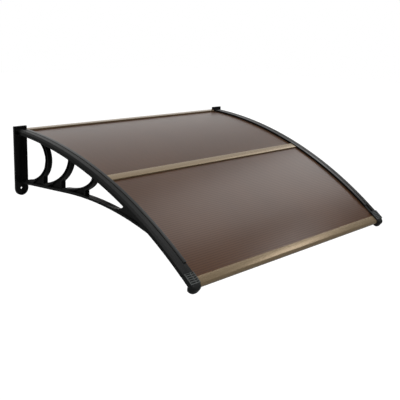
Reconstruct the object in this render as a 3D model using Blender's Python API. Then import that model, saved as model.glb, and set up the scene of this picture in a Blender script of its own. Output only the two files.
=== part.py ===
"""Door canopy: two moulded wall brackets carry two curved twin-wall sheets.

Metres, +Z up. The wall is the plane y = 0 and the canopy reaches forward along -Y.
The origin is on the wall, halfway between the brackets, level with the top of the
rear sheet. A place on the curved roof is given by its run, the length along the arc
from the wall, and its rise, the height above the sheets' top face. A place on a
bracket's side is given by its reach from the wall and its height.
"""

import math

import bmesh
import bpy
from mathutils import Matrix, Vector

# Overall sizes
WIDTH = 1.0
ARC_RADIUS = 1.370
START_TILT = math.radians(3.5)
GAP = 0.0003
MERGE = 0.0008
ARC_STEP = 0.030

# Twin-wall sheets
SHEET_THICK = 0.0050
SHEET_SKIN = 0.0005
FLUTE_PITCH = 0.0072
SHEET_FRONT = 0.8660

# Bracket rail, the outer half of the beam
PLATE_WIDTH = 0.047
RAIL_INSET = 0.0095
RAIL_WIDTH = 0.0215
RAIL_RISE = 0.0072
RAIL_CHAMFER = 0.0012
LEDGE_THICK = 0.0016
RAIL_WALL = 0.003
GROOVE_WIDTH = 0.0075
GROOVE_DEPTH = 0.0110
RAIL_START = 0.003

# Cover strip, the inner half of the beam
COVER_WIDTH = 0.014
COVER_LEG = 0.0085
COVER_LIP = 0.0024
COVER_ROOF = 0.0024
COVER_END = 0.800
SHEET_SIDE_GAP = 0.0006

# Rubber strips
GASKET_THICK = 0.0010
TOP_GASKET_THICK = 0.0015
GASKET_WIDTH = 0.0043

# Aluminium bars
BAR_FLANGE = 0.0015
BAR_LOWER = 0.0010
REAR_BAR_RUN = 0.0175
REAR_BAR_RISE = 0.0088
REAR_BAR_EDGE = 0.0034
REAR_BAR_WEB = 0.0040
SEAL_GROOVE = 0.0012
SEAL_LOW = 0.0018
SEAL_HIGH = 0.0044
CENTRE_BAR_RUN = 0.4358
CENTRE_BAR_WIDTH = 0.0275
CENTRE_BAR_WEB = 0.0025
CENTRE_BAR_EDGE = 0.0004
CENTRE_BAR_CROWN = 0.0028
SHEET_END_GAP = 0.0005
FRONT_BAR_RUN = 0.8465
FRONT_BAR_END = 0.8745
FRONT_BAR_NOSE = 0.0090
FRONT_BAR_DRIP = 0.0030
LOWER_FLANGE_STEP = 0.0030

# Wall plate
PLATE_TOP = 0.0165
PLATE_HEIGHT = 0.229
PLATE_THICK = 0.006
PLATE_RIM = 0.0025
PLATE_RIM_WIDTH = 0.004
PLATE_CLEAR = 0.0010
BOLT_RADIUS = 0.0035
BOLT_SEAT_RADIUS = 0.0065
BOLT_SEAT_DEPTH = 0.0015
UPPER_BOLT_DROP = 0.052
KNOCKOUT_WEB = 0.0020
POST_WIDTH = 0.013
POST_REACH = 0.0125
POST_DROP = 0.064

# Lower arm
ARM_ABOVE_FOOT = 0.0405
ARM_DEPTH = 0.0072
ARM_WIDTH = 0.024
ARM_STRAIGHT = 0.264
ARM_TILT = math.radians(2.2)
ARM_RADIUS = 1.040

# Crescent ribs: reach of the lowest point, its rise over the arm, half the length and
# half the height of the rear edge's ellipse, reach of the foot
CRESCENTS = (
    (0.0200, 0.0070, 0.1260, 0.0810, 0.1340),
    (0.0870, 0.0067, 0.1780, 0.1078, 0.2280),
    (0.2180, 0.0076, 0.1625, 0.0634, 0.3455),
)
CRESCENT_WIDTH = 0.0147
CRESCENT_THICK = 0.017
CRESCENT_RIM = 0.003
POCKET_DEPTH = 0.005
POCKET_LENGTH = 0.034
POCKET_TAPER = 0.026
FLARE = 0.011
TAIL_REACH = 0.012
TAIL_BLEND = 0.030
TAIL_OVERLAP = 0.010
LATTICE_INSET = 0.029
CHORD_THICK = 0.010
CHORD_DEPTH = 0.0042
GUSSET_REACH = 0.445
GUSSET_CORNER = 0.512
GUSSET_RUN = 0.548
CORNER_FILLET = 0.012

# End cap
CAP_START = 0.832
CAP_LIP = 0.867
CAP_CHEEK = 0.003
CAP_TONGUE = 0.0019
CAP_NOSE_STEP = 0.0012
NOSE_LENGTH = 0.0165
NOSE_BULGE = 0.0025
NOSE_DROP = 0.024
NOSE_TIP_WIDTH = 0.25
NOSE_TIP_HEIGHT = 0.55
HOOK_RUN = 0.865
HOOK_DROP = 0.0155
HOOK_WIDTH = 0.008
GRIP_SLOTS = 5
GRIP_PITCH = 0.0066
GRIP_SLOT = 0.0034
GRIP_DEPTH = 0.0019
GRIP_MARGIN = 0.0034
GRIP_RIDGE = 0.003

# Screws, driven from below
SCREW_RADIUS = 0.0014
SCREW_HEAD_RADIUS = 0.0029
SCREW_HEAD = 0.0018
SCREW_CLEAR = 0.0004
SCREW_INSET = 0.0024
SCREW_TIP = 0.0020
COVER_SCREW_RUNS = (0.060, 0.220, 0.340, 0.480, 0.760)
COVER_SCREW_RISE = 0.0025
CAP_SCREW_RUN = 0.8475
CAP_SCREW_RISE = 0.0040

# Places worked out from the sizes above
HALF = WIDTH / 2
RAIL_OUT = HALF - RAIL_INSET
RAIL_IN = RAIL_OUT - RAIL_WIDTH
COVER_OUT = RAIL_IN - GAP
COVER_IN = COVER_OUT - COVER_WIDTH
SHEET_HALF = COVER_OUT - COVER_LEG - SHEET_SIDE_GAP
PLATE_IN = HALF - PLATE_WIDTH
PLATE_MID = HALF - PLATE_WIDTH / 2
LATTICE_MID = HALF - LATTICE_INSET
LEDGE_TOP = -(SHEET_THICK + 2 * GAP + GASKET_THICK)
RAIL_BOTTOM = LEDGE_TOP - LEDGE_THICK
SHEET_BOTTOM = -SHEET_THICK
BAR_TOP = GAP + BAR_FLANGE
BAR_BOTTOM = SHEET_BOTTOM - GAP - BAR_LOWER
LIP_BOTTOM = BAR_TOP + GAP
CHORD_BOTTOM = RAIL_BOTTOM - CHORD_DEPTH
TENON_OUT = RAIL_OUT - CAP_CHEEK - GAP
TENON_END = CAP_LIP - 2 * MERGE
PLATE_FRONT = PLATE_THICK + PLATE_RIM + PLATE_CLEAR
SCREW_LINE = COVER_OUT - COVER_LEG + SCREW_INSET
CAP_SCREW_LINE = (RAIL_IN + TENON_OUT) / 2
PLATE_FOOT = PLATE_TOP - PLATE_HEIGHT

# Finishes: colour, roughness, metallic
PLASTIC = ((0.012, 0.013, 0.014), 0.38, 0.0)
SHEET_BROWN = ((0.085, 0.050, 0.034), 0.22, 0.0)
CHAMPAGNE = ((0.42, 0.35, 0.25), 0.36, 0.9)
RUBBER = ((0.010, 0.010, 0.010), 0.75, 0.0)
STEEL = ((0.50, 0.50, 0.50), 0.35, 1.0)


# The curved roof as a coordinate system
def roof(run, rise):
    """Reach and height of a place on the arc."""
    angle = START_TILT + run / ARC_RADIUS
    radius = ARC_RADIUS + rise
    reach = radius * math.sin(angle) - ARC_RADIUS * math.sin(START_TILT)
    height = radius * math.cos(angle) - ARC_RADIUS * math.cos(START_TILT)
    return reach, height


def roof_centre():
    """Centre of the roof's arc, as reach and height."""
    return -ARC_RADIUS * math.sin(START_TILT), -ARC_RADIUS * math.cos(START_TILT)


def run_steps(start, end):
    """Runs from start to end, evenly spaced and no further apart than ARC_STEP."""
    count = max(1, math.ceil((end - start) / ARC_STEP))
    return [start + (end - start) * i / count for i in range(count + 1)]


# Plane geometry for the bracket's side outline
def arc_points(centre, radius, first, last, count):
    """Points on a circle from one angle to another."""
    points = []
    for i in range(count + 1):
        angle = first + (last - first) * i / count
        points.append((centre[0] + radius * math.cos(angle), centre[1] + radius * math.sin(angle)))
    return points


def circles_meet(centre_a, radius_a, centre_b, radius_b):
    """The two points where two circles meet, the one of further reach first."""
    dx, dz = centre_b[0] - centre_a[0], centre_b[1] - centre_a[1]
    distance = math.hypot(dx, dz)
    along = (radius_a**2 - radius_b**2 + distance**2) / (2 * distance)
    across = math.sqrt(radius_a**2 - along**2)
    foot = (centre_a[0] + along * dx / distance, centre_a[1] + along * dz / distance)
    side = (-dz / distance * across, dx / distance * across)
    pair = [(foot[0] + side[0], foot[1] + side[1]), (foot[0] - side[0], foot[1] - side[1])]
    return sorted(pair, reverse=True)


def on_ellipse(centre, size, angle):
    """A point on an ellipse, from its half length and half height."""
    return centre[0] + size[0] * math.cos(angle), centre[1] + size[1] * math.sin(angle)


def ellipse_points(centre, size, first, last, count):
    """Points on an ellipse from one angle to another."""
    return [on_ellipse(centre, size, first + (last - first) * i / count) for i in range(count + 1)]


def ellipse_angle(centre, size, reach):
    """Angle on the lower half of an ellipse at a given reach."""
    return -math.acos((reach - centre[0]) / size[0])


def roof_place(point):
    """Run and rise of a point given by reach and height."""
    centre = roof_centre()
    angle = math.atan2(point[0] - centre[0], point[1] - centre[1])
    distance = math.hypot(point[0] - centre[0], point[1] - centre[1])
    return (angle - START_TILT) * ARC_RADIUS, distance - ARC_RADIUS


def ellipse_meets_roof(centre, size, rise):
    """Angle at which an ellipse, followed up from its lowest point, reaches a rise."""
    low, high = -math.pi / 2, math.pi / 2
    for _ in range(50):
        middle = (low + high) / 2
        if roof_place(on_ellipse(centre, size, middle))[1] < rise:
            low = middle
        else:
            high = middle
    return low


def fillet(start, corner, end, count=5):
    """A smooth curve from start to end that leaves and arrives along the corner's sides."""
    points = []
    for i in range(count + 1):
        t = i / count
        a, b, c = (1 - t) ** 2, 2 * t * (1 - t), t**2
        points.append(
            (
                a * start[0] + b * corner[0] + c * end[0],
                a * start[1] + b * corner[1] + c * end[1],
            )
        )
    return points


# The lower arm: straight at first, then an arc that falls to the rail
def arm_bend():
    """Where the arm's lower edge starts to curve."""
    root = PLATE_FOOT + ARM_ABOVE_FOOT
    return ARM_STRAIGHT, root + ARM_STRAIGHT * math.tan(ARM_TILT)


def arm_centre():
    """Centre of the arm's curved stretch."""
    bend = arm_bend()
    return bend[0] + ARM_RADIUS * math.sin(ARM_TILT), bend[1] - ARM_RADIUS * math.cos(ARM_TILT)


def arm_height(reach, above):
    """Height of a line that runs above the arm's lower edge."""
    if reach <= ARM_STRAIGHT:
        return PLATE_FOOT + ARM_ABOVE_FOOT + reach * math.tan(ARM_TILT) + above
    centre = arm_centre()
    return centre[1] + math.sqrt((ARM_RADIUS + above) ** 2 - (reach - centre[0]) ** 2)


def arm_line(above, first, last, count):
    """Points of a line above the arm's lower edge, between two reaches."""
    points = []
    for i in range(count + 1):
        reach = first + (last - first) * i / count
        points.append((reach, arm_height(reach, above)))
    return points


def arm_meets_rail(above, rise):
    """Where a line above the arm's lower edge runs into the rail."""
    return circles_meet(arm_centre(), ARM_RADIUS + above, roof_centre(), ARC_RADIUS + rise)[1]


# Mesh helpers
def material(name, finish):
    """A Principled material from a colour, a roughness and a metallic value."""
    made = bpy.data.materials.new(name)
    made.use_nodes = True
    shader = made.node_tree.nodes["Principled BSDF"]
    shader.inputs["Base Color"].default_value = (*finish[0], 1.0)
    shader.inputs["Roughness"].default_value = finish[1]
    shader.inputs["Metallic"].default_value = finish[2]
    return made


def solid(name, points, faces):
    """An object from points and faces, with its faces turned outwards."""
    mesh = bpy.data.meshes.new(name)
    mesh.from_pydata(points, [], faces)
    work = bmesh.new()
    work.from_mesh(mesh)
    bmesh.ops.remove_doubles(work, verts=work.verts, dist=1e-7)
    bmesh.ops.recalc_face_normals(work, faces=work.faces)
    work.to_mesh(mesh)
    work.free()
    made = bpy.data.objects.new(name, mesh)
    bpy.context.collection.objects.link(made)
    return made


def skin(name, rings, closed_ends=True):
    """An object whose surface joins rings of equally many points."""
    size = len(rings[0])
    points = [point for ring in rings for point in ring]
    faces = []
    for i in range(len(rings) - 1):
        for j in range(size):
            k = (j + 1) % size
            faces.append((i * size + j, i * size + k, (i + 1) * size + k, (i + 1) * size + j))
    if closed_ends:
        faces.append(tuple(range(size)))
        faces.append(tuple(range((len(rings) - 1) * size, len(rings) * size)))
    return solid(name, points, faces)


def prism(name, outline, x_first, x_last):
    """A side outline of reach and height, extruded along X."""
    rings = [[(x, -reach, height) for reach, height in outline] for x in (x_first, x_last)]
    return skin(name, rings)


def plate_prism(name, outline, reach_first, reach_last):
    """A front outline of x and height, extruded away from the wall."""
    rings = [[(x, -reach, height) for x, height in outline] for reach in (reach_first, reach_last)]
    return skin(name, rings)


def roof_prism(name, outline, x_first, x_last):
    """An outline of run and rise, extruded along X."""
    return prism(name, [roof(run, rise) for run, rise in outline], x_first, x_last)


def sweep(name, section, start, end):
    """A section of x and rise, swept along the roof's arc."""
    rings = []
    for run in run_steps(start, end):
        ring = []
        for x, rise in section:
            reach, height = roof(run, rise)
            ring.append((x, -reach, height))
        rings.append(ring)
    return skin(name, rings)


def rectangle(low_a, high_a, low_b, high_b):
    """The corners of a rectangle."""
    return [(low_a, low_b), (high_a, low_b), (high_a, high_b), (low_a, high_b)]


def combine(target, tool, operation):
    """Join a tool to a target or cut it away, and keep only the result."""
    modifier = target.modifiers.new(operation, "BOOLEAN")
    modifier.operation = operation
    modifier.solver = "EXACT"
    modifier.object = tool
    seen = target.evaluated_get(bpy.context.evaluated_depsgraph_get())
    mesh = bpy.data.meshes.new_from_object(seen)
    target.modifiers.clear()
    target.data = mesh
    bpy.data.objects.remove(tool, do_unlink=True)
    return target


def join_all(target, tools):
    """Join several tools to a target."""
    for tool in tools:
        combine(target, tool, "UNION")
    return target


def cut_all(target, tools):
    """Cut several tools away from a target."""
    for tool in tools:
        combine(target, tool, "DIFFERENCE")
    return target


def turned(name, profile, base, direction, sides):
    """A profile of radius and height turned round an axis."""
    turn = Vector((0, 0, 1)).rotation_difference(direction).to_matrix().to_4x4()
    place = Matrix.Translation(base) @ turn
    rings = []
    for radius, height in profile:
        ring = []
        for i in range(sides):
            angle = 2 * math.pi * i / sides
            spot = Vector((radius * math.cos(angle), radius * math.sin(angle), height))
            ring.append(tuple(place @ spot))
        rings.append(ring)
    return skin(name, rings)


def roof_axis(x, run, rise):
    """A place on the roof and the direction square to it, away from the arc's centre."""
    reach, height = roof(run, rise)
    angle = START_TILT + run / ARC_RADIUS
    return Vector((x, -reach, height)), Vector((0, -math.sin(angle), math.cos(angle)))


def roof_bore(name, x, run, low, high, radius):
    """A round cutter square to the roof, between two rises."""
    base, up = roof_axis(x, run, low)
    return turned(name, [(radius, 0), (radius, high - low)], base, up, 12)


def finish_object(made, finish_material, smooth_angle=30):
    """Give an object its material and its shading."""
    made.data.materials.clear()
    made.data.materials.append(finish_material)
    made.data.shade_smooth()
    made.data.set_sharp_from_angle(angle=math.radians(smooth_angle))
    return made


def mirrored(source, name):
    """A left-hand copy of a right-hand object."""
    mesh = source.data.copy()
    work = bmesh.new()
    work.from_mesh(mesh)
    bmesh.ops.transform(work, matrix=Matrix.Scale(-1, 4, Vector((1, 0, 0))), verts=work.verts)
    bmesh.ops.reverse_faces(work, faces=work.faces)
    work.to_mesh(mesh)
    work.free()
    made = bpy.data.objects.new(name, mesh)
    bpy.context.collection.objects.link(made)
    return made


def pair(made, base_name, finish_material):
    """Name a right-hand object, finish it, and add its left-hand copy."""
    made.name = "right_" + base_name
    finish_object(made, finish_material)
    mirrored(made, "left_" + base_name)


# Twin-wall sheets
def fluted_sheet(name, start, end, finish_material):
    """Two skins joined by ribs that run along X, with open flutes between them."""
    cells = round((end - start - SHEET_SKIN) / FLUTE_PITCH)
    pitch = (end - start - SHEET_SKIN) / cells
    runs = []
    for i in range(cells + 1):
        runs += [start + i * pitch, start + i * pitch + SHEET_SKIN]
    rises = [0.0, -SHEET_SKIN, SHEET_BOTTOM + SHEET_SKIN, SHEET_BOTTOM]
    columns = len(runs)
    points = []
    for x in (-SHEET_HALF, SHEET_HALF):
        for rise in rises:
            for run in runs:
                reach, height = roof(run, rise)
                points.append((x, -reach, height))

    def spot(side, level, column):
        return (side * len(rises) + level) * columns + column

    filled = {(level, column) for level in (0, 2) for column in range(columns - 1)}
    filled |= {(1, column) for column in range(0, columns, 2)}
    faces = []
    for level, column in filled:
        around = ((level, column), (level, column + 1), (level + 1, column + 1), (level + 1, column))
        for side in (0, 1):
            faces.append([spot(side, a, b) for a, b in around])
        beside = ((level - 1, column), (level, column + 1), (level + 1, column), (level, column - 1))
        for i in range(4):
            if beside[i] not in filled:
                a, b = around[i], around[(i + 1) % 4]
                faces.append((spot(0, *a), spot(0, *b), spot(1, *b), spot(1, *a)))
    return finish_object(solid(name, points, faces), finish_material)


# Aluminium bars
def rear_bar(finish_material):
    """The wall profile: it grips the rear sheet and holds a seal against the wall."""
    outline = [(0.0, roof(0.0, BAR_BOTTOM)[1])]
    outline.append(roof(REAR_BAR_RUN, BAR_BOTTOM))
    outline.append(roof(REAR_BAR_RUN, SHEET_BOTTOM - GAP))
    outline.append(roof(REAR_BAR_WEB, SHEET_BOTTOM - GAP))
    outline.append(roof(REAR_BAR_WEB, GAP))
    outline.append(roof(REAR_BAR_RUN, GAP))
    outline.append(roof(REAR_BAR_RUN, REAR_BAR_EDGE))
    outline.append(roof(PLATE_THICK + PLATE_RIM, REAR_BAR_EDGE))
    outline.append((REAR_BAR_WEB, REAR_BAR_RISE))
    outline.append((0.0, REAR_BAR_RISE))
    outline += [(0.0, SEAL_HIGH), (SEAL_GROOVE, SEAL_HIGH), (SEAL_GROOVE, SEAL_LOW), (0.0, SEAL_LOW)]
    length = PLATE_IN - 2 * GAP
    return finish_object(prism("rear_bar", outline, -length, length), finish_material)


def wall_seal(finish_material):
    """The rubber strip in the rear bar's groove, flush with the wall."""
    outline = rectangle(0.0, SEAL_GROOVE - GAP, SEAL_LOW + GAP, SEAL_HIGH - GAP)
    length = PLATE_IN - 2 * GAP
    return finish_object(prism("wall_seal", outline, -length, length), finish_material)


def centre_bar(finish_material):
    """The H profile that joins the two sheets, with a crown between the cover strips."""
    half, web = CENTRE_BAR_WIDTH / 2, CENTRE_BAR_WEB / 2
    right = [
        (web, SHEET_BOTTOM - GAP),
        (web, GAP),
        (half, GAP),
        (half, BAR_TOP - CENTRE_BAR_EDGE),
        (half - CENTRE_BAR_EDGE, BAR_TOP),
    ]
    lower = [(half, BAR_BOTTOM), (half, SHEET_BOTTOM - GAP)]
    outline = lower + right + [(-run, rise) for run, rise in reversed(lower + right)]
    outline = [(CENTRE_BAR_RUN + run, rise) for run, rise in outline]
    bar = roof_prism("centre_bar", outline, -SHEET_HALF, SHEET_HALF)
    crown_half = half - 2 * CENTRE_BAR_EDGE
    crown_top = BAR_TOP + CENTRE_BAR_CROWN
    crown_outline = [
        (CENTRE_BAR_RUN - crown_half, BAR_TOP - MERGE / 4),
        (CENTRE_BAR_RUN + crown_half, BAR_TOP - MERGE / 4),
        (CENTRE_BAR_RUN + crown_half, crown_top - CENTRE_BAR_EDGE),
        (CENTRE_BAR_RUN + crown_half - CENTRE_BAR_EDGE, crown_top),
        (CENTRE_BAR_RUN - crown_half + CENTRE_BAR_EDGE, crown_top),
        (CENTRE_BAR_RUN - crown_half, crown_top - CENTRE_BAR_EDGE),
    ]
    crown_end = COVER_IN - 2 * GAP
    join_all(bar, [roof_prism("crown", crown_outline, -crown_end, crown_end)])
    return finish_object(bar, finish_material)


def front_bar(finish_material):
    """The edge profile that closes the front sheet, with a rounded nose and a drip lip."""
    slot = SHEET_FRONT + SHEET_END_GAP
    nose_start = FRONT_BAR_END - FRONT_BAR_NOSE
    drip = BAR_BOTTOM - FRONT_BAR_DRIP
    outline = [
        (FRONT_BAR_RUN + LOWER_FLANGE_STEP, BAR_BOTTOM),
        (FRONT_BAR_RUN + LOWER_FLANGE_STEP, SHEET_BOTTOM - GAP),
        (slot, SHEET_BOTTOM - GAP),
        (slot, GAP),
        (FRONT_BAR_RUN, GAP),
        (FRONT_BAR_RUN, BAR_TOP),
        (nose_start, BAR_TOP),
    ]
    for i in range(1, 7):
        angle = math.pi / 2 * i / 6
        run = nose_start + FRONT_BAR_NOSE * math.sin(angle)
        rise = BAR_TOP + (BAR_BOTTOM - BAR_TOP) * (1 - math.cos(angle))
        outline.append((run, rise))
    outline.append((FRONT_BAR_END, drip))
    outline.append((FRONT_BAR_END - BAR_FLANGE, drip))
    outline.append((FRONT_BAR_END - BAR_FLANGE, BAR_BOTTOM))
    return finish_object(roof_prism("front_bar", outline, -SHEET_HALF, SHEET_HALF), finish_material)


# Wall bracket
def plate_outline(inset):
    """Front outline of the wall plate: square at the top and half round at the foot."""
    radius = PLATE_WIDTH / 2 - inset
    centre = (PLATE_MID, PLATE_FOOT + PLATE_WIDTH / 2)
    outline = [(PLATE_MID + radius, PLATE_TOP - inset), (PLATE_MID - radius, PLATE_TOP - inset)]
    return outline + arc_points(centre, radius, math.pi, 2 * math.pi, 16)


def wall_plate():
    """The flat plate with a raised rim round its front."""
    plate = plate_prism("plate", plate_outline(0.0), 0.0, PLATE_THICK + PLATE_RIM)
    pocket = plate_prism("pocket", plate_outline(PLATE_RIM_WIDTH), PLATE_THICK, PLATE_THICK + 2 * PLATE_RIM)
    return cut_all(plate, [pocket])


def plate_post():
    """The rib that runs down the wall plate into the arm."""
    back, low = PLATE_THICK / 2, arm_height(POST_REACH, ARM_DEPTH / 2)
    high = PLATE_TOP - POST_DROP
    outline = [
        (back, low),
        (POST_REACH, low),
        (POST_REACH, high - 2 * (POST_REACH - PLATE_THICK)),
        (PLATE_THICK, high),
        (back, high),
    ]
    half = POST_WIDTH / 2
    return prism("post", outline, LATTICE_MID - half, LATTICE_MID + half)


def bolt_cutters():
    """Stepped cutters for the wall bolts: a knock-out above, an open hole below."""
    upper, lower = PLATE_TOP - UPPER_BOLT_DROP, PLATE_FOOT + PLATE_WIDTH / 2
    seat, front = PLATE_THICK - BOLT_SEAT_DEPTH, PLATE_THICK + 2 * PLATE_RIM
    cutters = []
    for height, back in ((upper, KNOCKOUT_WEB), (lower, -PLATE_THICK)):
        profile = [
            (BOLT_RADIUS, back),
            (BOLT_RADIUS, seat),
            (BOLT_SEAT_RADIUS, seat),
            (BOLT_SEAT_RADIUS, front),
        ]
        base = Vector((PLATE_MID, 0.0, height))
        cutters.append(turned("bolt", profile, base, Vector((0, -1, 0)), 16))
    return cutters


def rail_section():
    """Section of the rail: a channel open below, with a ledge for the sheet inside it."""
    groove_out = RAIL_OUT - RAIL_WALL
    groove_in = groove_out - GROOVE_WIDTH
    groove_top = RAIL_BOTTOM + GROOVE_DEPTH
    return [
        (COVER_IN, RAIL_BOTTOM),
        (groove_in, RAIL_BOTTOM),
        (groove_in, groove_top),
        (groove_out, groove_top),
        (groove_out, RAIL_BOTTOM),
        (RAIL_OUT, RAIL_BOTTOM),
        (RAIL_OUT, RAIL_RISE - RAIL_CHAMFER),
        (RAIL_OUT - RAIL_CHAMFER, RAIL_RISE),
        (RAIL_IN, RAIL_RISE),
        (RAIL_IN, LEDGE_TOP),
        (COVER_IN, LEDGE_TOP),
    ]


def tenon_section():
    """Section of the rail's front end, which the end cap slides over."""
    return [
        (COVER_IN, RAIL_BOTTOM),
        (TENON_OUT, RAIL_BOTTOM),
        (TENON_OUT, BAR_TOP),
        (RAIL_IN, BAR_TOP),
        (RAIL_IN, LEDGE_TOP),
        (COVER_IN, LEDGE_TOP),
    ]


def crescent_centre(crescent):
    """Centre of a crescent's ellipses."""
    reach, rise, _, half_height, _ = crescent
    return reach, arm_height(reach, ARM_DEPTH) + rise + half_height


def crescent_rear(crescent, inset, top, tail_angle, count):
    """The rear edge of a crescent, from the rail down to an angle."""
    centre = crescent_centre(crescent)
    size = (crescent[2] + inset, crescent[3] + inset)
    return ellipse_points(centre, size, ellipse_meets_roof(centre, size, top), tail_angle, count)


def crescent_front(crescent, inset, top, flare):
    """The front edge of a crescent, from its foot up to the rail, with a flare there."""
    centre = crescent_centre(crescent)
    width = CRESCENT_WIDTH - inset
    size = (crescent[2] + width, crescent[3] + width)
    first = ellipse_angle(centre, size, crescent[4] - inset)
    last = ellipse_meets_roof(centre, size, top)
    if not flare:
        return ellipse_points(centre, size, first, last, 9)
    corner = on_ellipse(centre, size, last)
    end = roof(roof_place(corner)[0] + flare, top)
    points = ellipse_points(centre, size, first, last - 1.6 * flare / max(size), 8)
    return points + fillet(points[-1], corner, end)[1:]


def crescent_outline(crescent, tail):
    """Side outline of a crescent rib: its rear edge sweeps down into a tail on the arm."""
    top, bottom = RAIL_BOTTOM + MERGE, ARM_DEPTH / 2
    centre = crescent_centre(crescent)
    foot = crescent[4]
    blend_angle = ellipse_angle(centre, crescent[2:4], tail + TAIL_BLEND)
    outline = crescent_rear(crescent, 0.0, top, blend_angle, 16)
    start = outline[-1]
    end = (tail, arm_height(tail, bottom))
    corner = (tail + TAIL_BLEND * 0.5, end[1] + (start[1] - end[1]) * 0.8)
    outline += fillet(start, corner, end, 4)[1:]
    outline.append((foot, arm_height(foot, bottom)))
    return outline + crescent_front(crescent, 0.0, top, FLARE)


def pocket_outline(crescent):
    """Side outline of the pocket inside a crescent's rims, which ends in a point on the arm."""
    top, bottom = CHORD_BOTTOM - CRESCENT_RIM / 2, ARM_DEPTH + MERGE
    centre = crescent_centre(crescent)
    size = (crescent[2] + CRESCENT_RIM, crescent[3] + CRESCENT_RIM)
    foot = crescent[4] - CRESCENT_RIM
    back = crescent[4] - POCKET_LENGTH
    tip = back - POCKET_TAPER
    outline = crescent_rear(crescent, CRESCENT_RIM, top, ellipse_angle(centre, size, back), 14)
    outline.append((tip, arm_height(tip, bottom)))
    outline.append((foot, arm_height(foot, bottom)))
    return outline + crescent_front(crescent, CRESCENT_RIM, top, 0.0)


def crescent_rib(crescent, tail):
    """One crescent with a shallow pocket in each side, so that its edges stand as rims."""
    half = CRESCENT_THICK / 2
    low, high = LATTICE_MID - half, LATTICE_MID + half
    rib = prism("rib", crescent_outline(crescent, tail), low, high)
    pocket = pocket_outline(crescent)
    cutters = [
        prism("pocket", pocket, low - POCKET_DEPTH, low + POCKET_DEPTH),
        prism("pocket", pocket, high - POCKET_DEPTH, high + POCKET_DEPTH),
    ]
    return cut_all(rib, cutters)


def arm():
    """The lower arm, from the wall plate to where it runs into the rail."""
    top = RAIL_BOTTOM + MERGE
    low_end = arm_meets_rail(0.0, top)
    high_end = arm_meets_rail(ARM_DEPTH, top)
    start = PLATE_THICK / 2
    outline = arm_line(0.0, start, ARM_STRAIGHT, 1)
    outline += arm_line(0.0, ARM_STRAIGHT, low_end[0], 12)[1:]
    outline += arm_line(ARM_DEPTH, high_end[0], ARM_STRAIGHT, 10)
    outline.append((start, arm_height(start, ARM_DEPTH)))
    half = ARM_WIDTH / 2
    return prism("arm", outline, LATTICE_MID - half, LATTICE_MID + half)


def gusset():
    """The web that closes the sharp corner between the arm and the rail."""
    top = RAIL_BOTTOM + MERGE
    middle = ARM_DEPTH / 2
    end = arm_meets_rail(middle, top)
    start = (GUSSET_REACH, arm_height(GUSSET_REACH, middle))
    corner = (GUSSET_CORNER, arm_height(GUSSET_CORNER, ARM_DEPTH))
    outline = fillet(start, corner, roof(GUSSET_RUN, top), 8)
    last_run = roof_place(end)[0]
    outline += [roof(GUSSET_RUN + (last_run - GUSSET_RUN) * i / 4, top) for i in range(1, 5)]
    outline += arm_line(middle, end[0], GUSSET_REACH, 8)[1:-1]
    half = CRESCENT_THICK / 2
    return prism("gusset", outline, LATTICE_MID - half, LATTICE_MID + half)


def corner_fillet():
    """The fillet under the rail where it leaves the wall plate."""
    reach, height = PLATE_THICK / 2, roof(CORNER_FILLET, RAIL_BOTTOM + MERGE)[1]
    wall_end = (PLATE_THICK, height - CORNER_FILLET)
    rail_end = roof(PLATE_THICK + CORNER_FILLET, RAIL_BOTTOM)
    outline = [(reach, height), (reach, height - CORNER_FILLET)]
    outline += fillet(wall_end, (PLATE_THICK, rail_end[1]), rail_end, 6)
    outline.append((rail_end[0], height))
    half = CRESCENT_THICK / 2
    return prism("corner", outline, LATTICE_MID - half, LATTICE_MID + half)


def bracket(finish_material):
    """The right-hand bracket as one moulding."""
    rail = sweep("bracket", rail_section(), RAIL_START, CAP_START - GAP)
    tenon = sweep("tenon", tenon_section(), CAP_START - 2 * MERGE, TENON_END)
    chord_half = CHORD_THICK / 2
    chord_box = rectangle(
        LATTICE_MID - chord_half, LATTICE_MID + chord_half, CHORD_BOTTOM, RAIL_BOTTOM + MERGE
    )
    chord = sweep("chord", chord_box, RAIL_START, CAP_START - RAIL_WALL)
    join_all(rail, [tenon, chord, wall_plate(), corner_fillet(), arm(), plate_post(), gusset()])
    tails = [TAIL_REACH] + [crescent[4] - TAIL_OVERLAP for crescent in CRESCENTS[:-1]]
    for crescent, tail in zip(CRESCENTS, tails):
        combine(rail, crescent_rib(crescent, tail), "UNION")
    bores = [
        roof_bore("bore", SCREW_LINE, run, RAIL_BOTTOM - MERGE, LEDGE_TOP + MERGE, SCREW_RADIUS + SCREW_CLEAR)
        for run in COVER_SCREW_RUNS
    ]
    bores.append(
        roof_bore(
            "bore",
            CAP_SCREW_LINE,
            CAP_SCREW_RUN,
            RAIL_BOTTOM - MERGE,
            BAR_TOP + MERGE,
            SCREW_RADIUS + SCREW_CLEAR,
        )
    )
    cut_all(rail, bolt_cutters() + bores)
    pair(rail, "bracket", finish_material)


# Cover strip
def cover_strip(finish_material):
    """The strip that is screwed up from below and presses the sheets down."""
    lip_in = COVER_IN + COVER_LIP
    leg_in = COVER_OUT - COVER_LEG
    roof_low = RAIL_RISE - COVER_ROOF
    section = [
        (COVER_IN, LIP_BOTTOM),
        (lip_in, LIP_BOTTOM),
        (lip_in, roof_low),
        (leg_in, roof_low),
        (leg_in, LEDGE_TOP + GAP),
        (COVER_OUT, LEDGE_TOP + GAP),
        (COVER_OUT, RAIL_RISE),
        (COVER_IN + RAIL_CHAMFER, RAIL_RISE),
        (COVER_IN, RAIL_RISE - RAIL_CHAMFER),
    ]
    strip = sweep("cover_strip", section, PLATE_FRONT, COVER_END - GAP)
    radius = SCREW_RADIUS + SCREW_CLEAR
    high = COVER_SCREW_RISE + SCREW_CLEAR
    bores = [
        roof_bore("bore", SCREW_LINE, run, RAIL_BOTTOM, high, radius) for run in COVER_SCREW_RUNS
    ]
    cut_all(strip, bores)
    pair(strip, "cover_strip", finish_material)


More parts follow.
